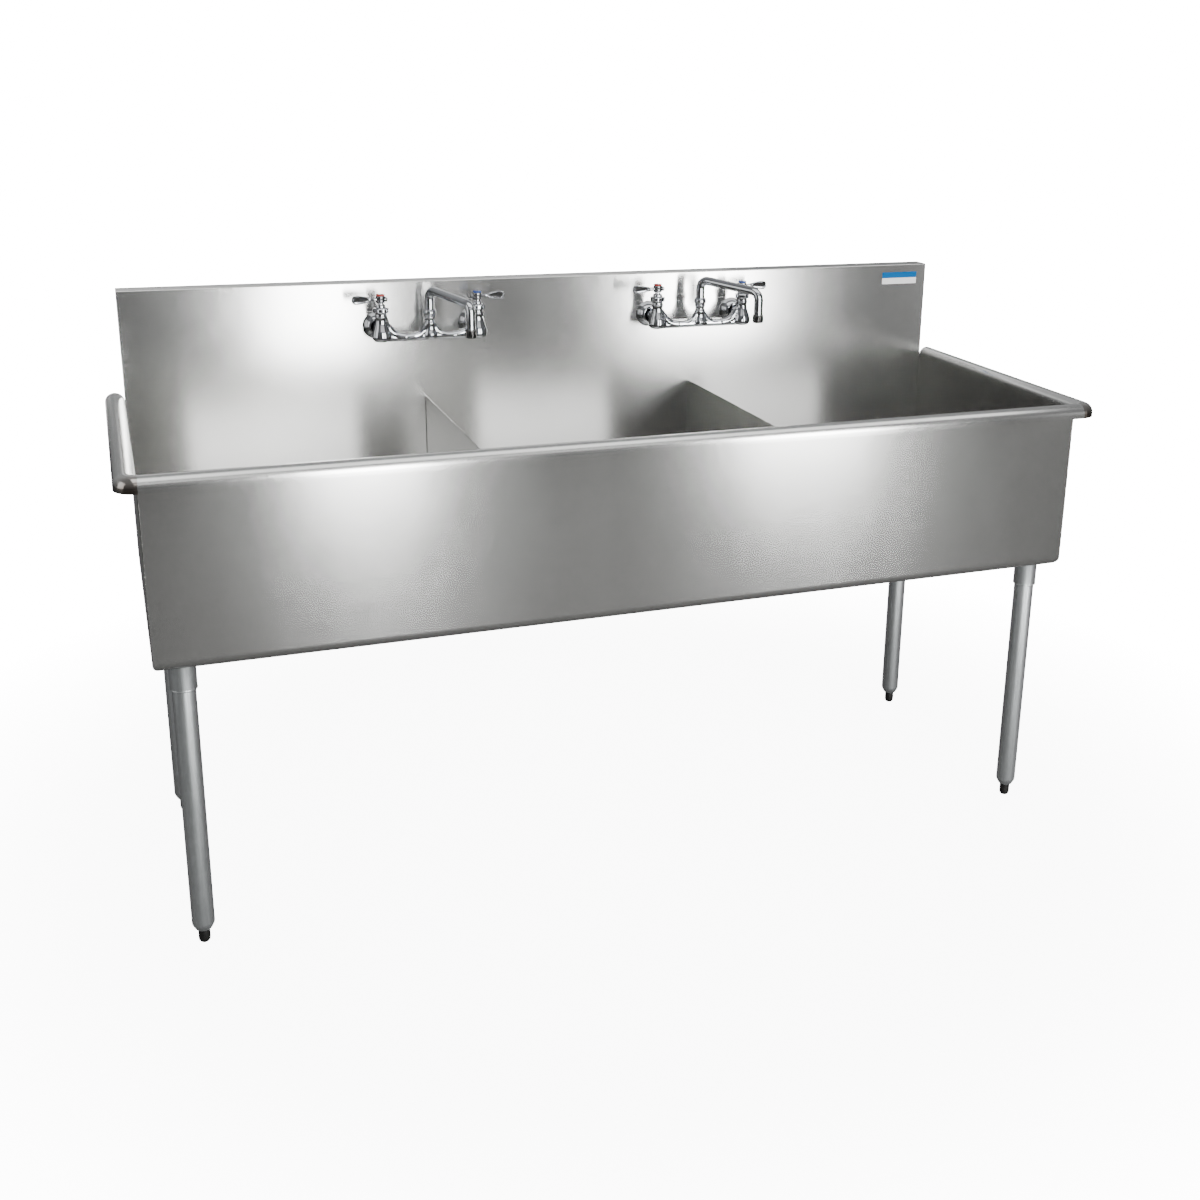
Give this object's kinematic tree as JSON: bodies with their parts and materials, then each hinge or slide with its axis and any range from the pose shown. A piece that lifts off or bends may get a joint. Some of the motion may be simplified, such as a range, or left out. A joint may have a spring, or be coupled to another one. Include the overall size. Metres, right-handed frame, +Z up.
{
  "type": "three compartment sink",
  "caption": "Free-standing stainless commercial sink: three deep bowls side by side in one sheet body with rolled rims, tall splash, tube legs and swing-spout wall faucets.",
  "frame": {"origin": "on the floor, at the centre of the footprint, under the middle bowl", "axes": "+Z up, +X to the user's right along the rims, +Y from the user towards the splash"},
  "size_m": [1.905, 0.7048, 1.1176],
  "materials": {
    "sheet_stainless": "satin brushed stainless steel sheet with a fine horizontal grain",
    "partition_stainless": "satin brushed stainless steel sheet, folded double along its top",
    "faucet_chrome": "polished chrome plate over a casting",
    "drain_steel": "polished stainless steel pressing",
    "locknut_metal": "die-cast locknut, dull grey",
    "drain_rubber": "black rubber washer",
    "galvanised_leg": "galvanised steel tube, bluish grey with a soft spangle",
    "foot_steel": "dark plated steel foot",
    "index_red": "red index button",
    "index_blue": "blue index button"
  },
  "bodies": {
    "sink_body": {"back_sheet": "sheet_stainless", "front_sheet": "sheet_stainless", "bottom_pan": "sheet_stainless", "end_sheet_left": "sheet_stainless", "end_sheet_right": "sheet_stainless", "rim_corner_left": "sheet_stainless", "rim_corner_right": "sheet_stainless", "splash_end_left": "sheet_stainless", "splash_end_right": "sheet_stainless", "partition_left": "partition_stainless", "partition_right": "partition_stainless", "drain_body_left": "drain_steel", "drain_gasket_left": "drain_rubber", "drain_locknut_left": "locknut_metal", "drain_body_middle": "drain_steel", "drain_gasket_middle": "drain_rubber", "drain_locknut_middle": "locknut_metal", "drain_body_right": "drain_steel", "drain_gasket_right": "drain_rubber", "drain_locknut_right": "locknut_metal", "leg_socket_front_left": "galvanised_leg", "leg_tube_front_left": "galvanised_leg", "leg_socket_front_right": "galvanised_leg", "leg_tube_front_right": "galvanised_leg", "leg_socket_rear_left": "galvanised_leg", "leg_tube_rear_left": "galvanised_leg", "leg_socket_rear_right": "galvanised_leg", "leg_tube_rear_right": "galvanised_leg", "faucet_left_body": "faucet_chrome", "faucet_left_spout_nut": "faucet_chrome", "faucet_left_hot_flange": "faucet_chrome", "faucet_left_hot_bonnet": "faucet_chrome", "faucet_left_cold_flange": "faucet_chrome", "faucet_left_cold_bonnet": "faucet_chrome", "faucet_right_body": "faucet_chrome", "faucet_right_spout_nut": "faucet_chrome", "faucet_right_hot_flange": "faucet_chrome", "faucet_right_hot_bonnet": "faucet_chrome", "faucet_right_cold_flange": "faucet_chrome", "faucet_right_cold_bonnet": "faucet_chrome"},
    "basket_left": {"drain_basket_left": "drain_steel"},
    "basket_middle": {"drain_basket_middle": "drain_steel"},
    "basket_right": {"drain_basket_right": "drain_steel"},
    "adjuster_front_left": {"foot_front_left": "foot_steel"},
    "adjuster_front_right": {"foot_front_right": "foot_steel"},
    "adjuster_rear_left": {"foot_rear_left": "foot_steel"},
    "adjuster_rear_right": {"foot_rear_right": "foot_steel"},
    "spout_left": {"faucet_left_spout": "faucet_chrome", "faucet_left_outlet": "faucet_chrome"},
    "handle_left_hot": {"faucet_left_hot_lever": "faucet_chrome", "faucet_left_hot_index": "index_red"},
    "handle_left_cold": {"faucet_left_cold_lever": "faucet_chrome", "faucet_left_cold_index": "index_blue"},
    "spout_right": {"faucet_right_spout": "faucet_chrome", "faucet_right_outlet": "faucet_chrome"},
    "handle_right_hot": {"faucet_right_hot_lever": "faucet_chrome", "faucet_right_hot_index": "index_red"},
    "handle_right_cold": {"faucet_right_cold_lever": "faucet_chrome", "faucet_right_cold_index": "index_blue"}
  },
  "joints": [
    {"name": "basket_lift_left", "type": "slide", "parent": "sink_body", "child": "basket_left", "axis": [0, 0, 1], "range_m": [0, 0.15]},
    {"name": "basket_lift_middle", "type": "slide", "parent": "sink_body", "child": "basket_middle", "axis": [0, 0, 1], "range_m": [0, 0.15]},
    {"name": "basket_lift_right", "type": "slide", "parent": "sink_body", "child": "basket_right", "axis": [0, 0, 1], "range_m": [0, 0.15]},
    {"name": "foot_height_front_left", "type": "slide", "parent": "sink_body", "child": "adjuster_front_left", "axis": [0, 0, -1], "range_m": [0, 0.025]},
    {"name": "foot_height_front_right", "type": "slide", "parent": "sink_body", "child": "adjuster_front_right", "axis": [0, 0, -1], "range_m": [0, 0.025]},
    {"name": "foot_height_rear_left", "type": "slide", "parent": "sink_body", "child": "adjuster_rear_left", "axis": [0, 0, -1], "range_m": [0, 0.025]},
    {"name": "foot_height_rear_right", "type": "slide", "parent": "sink_body", "child": "adjuster_rear_right", "axis": [0, 0, -1], "range_m": [0, 0.025]},
    {"name": "spout_swing_left", "type": "hinge", "parent": "sink_body", "child": "spout_left", "pos_m": [-0.3048, 0.24798, 1.077], "axis": [0, 0, 1], "range_deg": [-66, 26]},
    {"name": "handle_turn_left_hot", "type": "hinge", "parent": "sink_body", "child": "handle_left_hot", "pos_m": [-0.4064, 0.24798, 1.09], "axis": [0, 0, 1], "range_deg": [0, 90]},
    {"name": "handle_turn_left_cold", "type": "hinge", "parent": "sink_body", "child": "handle_left_cold", "pos_m": [-0.2032, 0.24798, 1.09], "axis": [0, 0, -1], "range_deg": [0, 90]},
    {"name": "spout_swing_right", "type": "hinge", "parent": "sink_body", "child": "spout_right", "pos_m": [0.3048, 0.24798, 1.077], "axis": [0, 0, 1], "range_deg": [-80, 12]},
    {"name": "handle_turn_right_hot", "type": "hinge", "parent": "sink_body", "child": "handle_right_hot", "pos_m": [0.2032, 0.24798, 1.09], "axis": [0, 0, 1], "range_deg": [0, 90]},
    {"name": "handle_turn_right_cold", "type": "hinge", "parent": "sink_body", "child": "handle_right_cold", "pos_m": [0.4064, 0.24798, 1.09], "axis": [0, 0, -1], "range_deg": [0, 90]}
  ]
}
